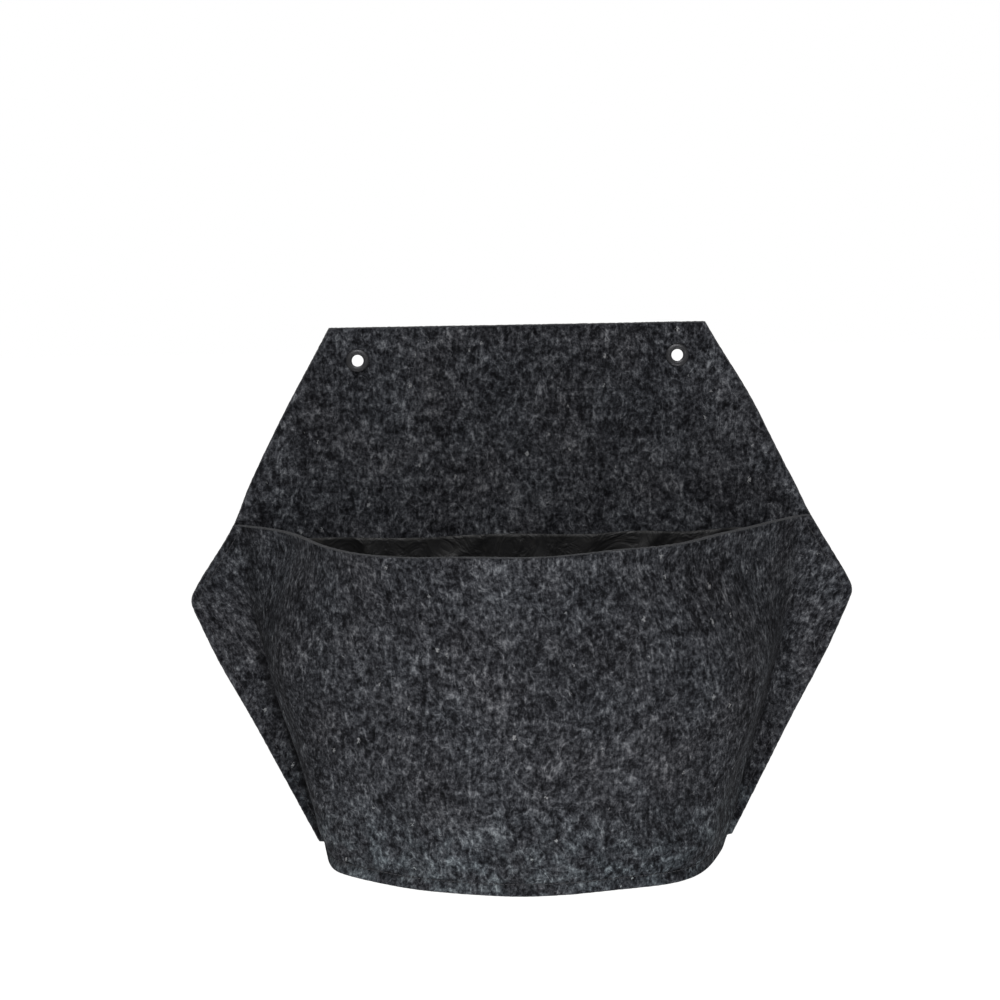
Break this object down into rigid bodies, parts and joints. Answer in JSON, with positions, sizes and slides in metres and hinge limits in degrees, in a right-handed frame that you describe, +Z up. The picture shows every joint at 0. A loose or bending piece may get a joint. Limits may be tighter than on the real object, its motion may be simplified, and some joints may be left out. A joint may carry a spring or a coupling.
{
  "type": "felt wall pocket planter",
  "caption": "Soft wall planter of charcoal felt: flat hexagonal back hung by two eyelets, bulged pocket sewn to its lower part over a D-shaped bottom gusset.",
  "frame": {"origin": "midway between the two eyelets, on the wall plane (the rear face of the back panel)", "axes": "+X to the viewer's right, +Y into the wall, +Z up; the pocket stands out towards -Y"},
  "size_m": [0.453, 0.1496, 0.3642],
  "materials": {
    "felt": "mottled charcoal needle-punched felt, matt and slightly hairy",
    "thread": "charcoal polyester sewing thread",
    "liner_film": "black polyethylene film, soft sheen",
    "eyelet_metal": "blackened, satin"
  },
  "bodies": {
    "root": {"back_panel": "felt", "front_panel": "felt", "base_panel": "felt", "moisture_liner": "liner_film", "left_side_seam": "thread", "right_side_seam": "thread", "base_front_seam": "thread", "base_back_seam": "thread", "left_eyelet": "eyelet_metal", "right_eyelet": "eyelet_metal", "left_eyelet_washer": "eyelet_metal", "right_eyelet_washer": "eyelet_metal"}
  },
  "joints": []
}
